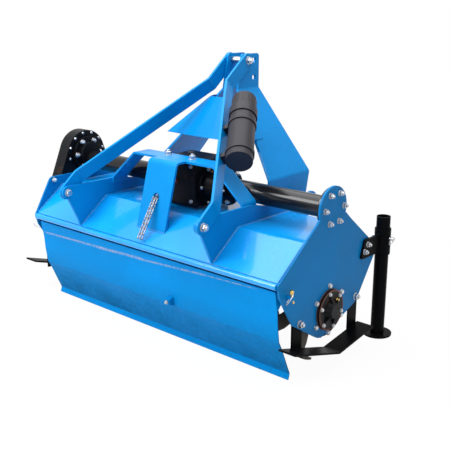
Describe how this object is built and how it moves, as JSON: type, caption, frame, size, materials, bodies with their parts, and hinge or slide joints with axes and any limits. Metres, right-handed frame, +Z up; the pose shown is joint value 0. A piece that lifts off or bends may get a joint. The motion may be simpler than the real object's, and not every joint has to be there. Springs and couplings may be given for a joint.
{
  "type": "rotary tiller",
  "caption": "Tractor-mounted rotary tiller: bent hood between side plates, tined rotor, three-point mast with struts, gearbox and side gear case, hinged tailgate, skids and parking stands.",
  "frame": {"origin": "the free end of the splined input shaft, on the shaft's axis", "axes": "+Y forward to the tractor along the input shaft, +X to the machine's right, +Z up from the ground it is parked on"},
  "size_m": [1.744, 0.8854, 1.2157],
  "materials": {
    "blue_paint": "gloss",
    "black_paint": "gloss",
    "cast_black": "satin",
    "zinc": "satin",
    "yellow_zinc": "satin",
    "black_plastic": "matte",
    "tine_steel": "satin"
  },
  "bodies": {
    "machine": {"side_plate_right": "blue_paint", "side_plate_left": "blue_paint", "rotor_hood": "blue_paint", "hinge_rod": "blue_paint", "front_beam": "blue_paint", "rib_right": "blue_paint", "rib_left": "blue_paint", "mast_leg_right": "blue_paint", "mast_leg_left": "blue_paint", "top_link_spacer": "zinc", "strut_right": "blue_paint", "strut_left": "blue_paint", "gearbox_housing": "cast_black", "gearbox_side_cover_right": "cast_black", "gearbox_side_cover_left": "cast_black", "gearbox_breather": "black_plastic", "cross_tube_right": "black_paint", "cross_tube_left": "black_paint", "gearbox_saddle": "blue_paint", "saddle_strap": "blue_paint", "gear_case": "black_paint", "gear_case_cover": "black_paint", "tube_flange_left": "cast_black", "rotor_hub_right": "cast_black", "rotor_hub_left": "zinc", "skid_right": "black_paint", "skid_left": "black_paint", "stand_sleeve_right": "black_paint", "stand_sleeve_left": "black_paint", "document_tube": "black_plastic", "document_bracket": "black_paint", "pto_guard": "blue_paint", "tailgate_chain": "zinc"},
    "rotor": {"rotor_shaft": "tine_steel", "rotor_tines": "tine_steel"},
    "pto": {"pto_shaft": "zinc"},
    "tailgate": {"tailgate_panel": "blue_paint", "tailgate_ear_right": "blue_paint", "tailgate_ear_left": "blue_paint", "tailgate_bracket": "zinc"},
    "stand_right": {"stand_leg_right": "black_paint"},
    "stand_left": {"stand_leg_left": "black_paint"},
    "document_lid": {"document_cap": "black_plastic"}
  },
  "joints": [
    {"name": "rotor_spin", "type": "hinge", "parent": "machine", "child": "rotor", "pos_m": [0, -0.236, -0.4235], "axis": [-1, 0, 0], "continuous": true},
    {"name": "pto_spin", "type": "hinge", "parent": "machine", "child": "pto", "pos_m": [0, 0, 0], "axis": [0, 1, 0], "continuous": true},
    {"name": "tailgate_hinge", "type": "hinge", "parent": "machine", "child": "tailgate", "pos_m": [0, -0.516, -0.289], "axis": [-1, 0, 0], "range_deg": [0, 70]},
    {"name": "stand_right_slide", "type": "slide", "parent": "machine", "child": "stand_right", "axis": [0, 0, 1], "range_m": [0, 0.2]},
    {"name": "stand_left_slide", "type": "slide", "parent": "machine", "child": "stand_left", "axis": [0, 0, 1], "range_m": [0, 0.2]},
    {"name": "document_lid_slide", "type": "slide", "parent": "machine", "child": "document_lid", "axis": [-0.4983, 0.6738, 0.5455], "range_m": [0, 0.06]}
  ],
  "couplings": [
    {"joint": "pto_spin", "follows": "rotor_spin", "ratio": 2.5}
  ]
}
